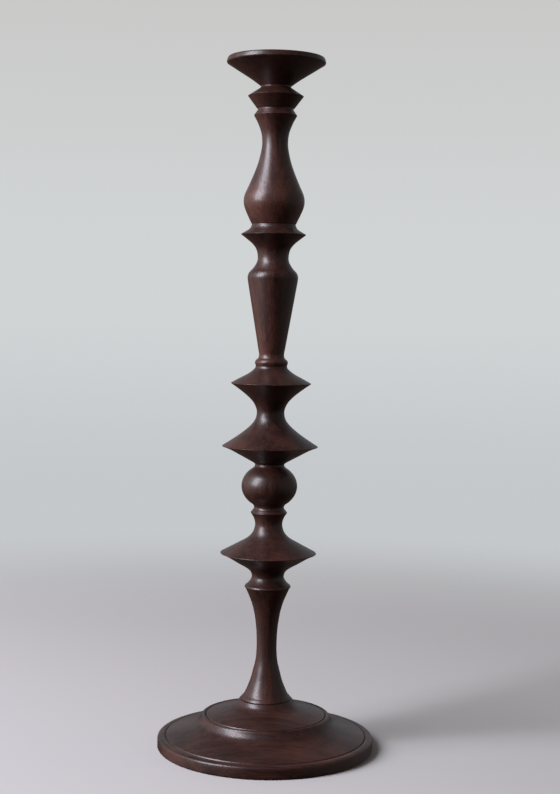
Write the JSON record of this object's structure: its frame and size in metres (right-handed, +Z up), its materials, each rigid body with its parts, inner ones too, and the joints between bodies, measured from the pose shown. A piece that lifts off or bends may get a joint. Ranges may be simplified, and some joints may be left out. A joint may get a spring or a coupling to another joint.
{
  "type": "candlestick",
  "caption": "Tall turned walnut candlestick: stepped round base, slim stem with discs, ball and vase turnings, and a drip cup with a brass socket.",
  "frame": {"origin": "on the candlestick's axis, at the underside of the felt pad where it meets the table", "axes": "+Z up along the turning axis towards the rim; +X and +Y level, and equal by symmetry"},
  "size_m": [0.142, 0.142, 0.45],
  "materials": {
    "walnut": "dark stained walnut, end to end along the grain, satin lacquer",
    "walnut_base": "dark stained walnut, faceplate turned with the grain lying flat, satin lacquer",
    "brass": "satin, a little aged",
    "steel": "zinc plated",
    "beech": "plain fluted dowel",
    "felt": "black wool felt"
  },
  "bodies": {
    "root": {"felt_pad": "felt", "base": "walnut_base", "base_screw": "steel", "base_washer": "steel", "stem": "walnut", "stem_dowel": "beech", "lower_disc": "walnut", "ball_knop": "walnut", "ball_dowel": "beech", "double_disc": "walnut", "column_dowel": "beech", "column": "walnut", "vase_dowel": "beech", "vase": "walnut", "collar": "walnut", "drip_cup": "walnut", "candle_cup": "brass", "cup_screw": "brass"}
  },
  "joints": []
}
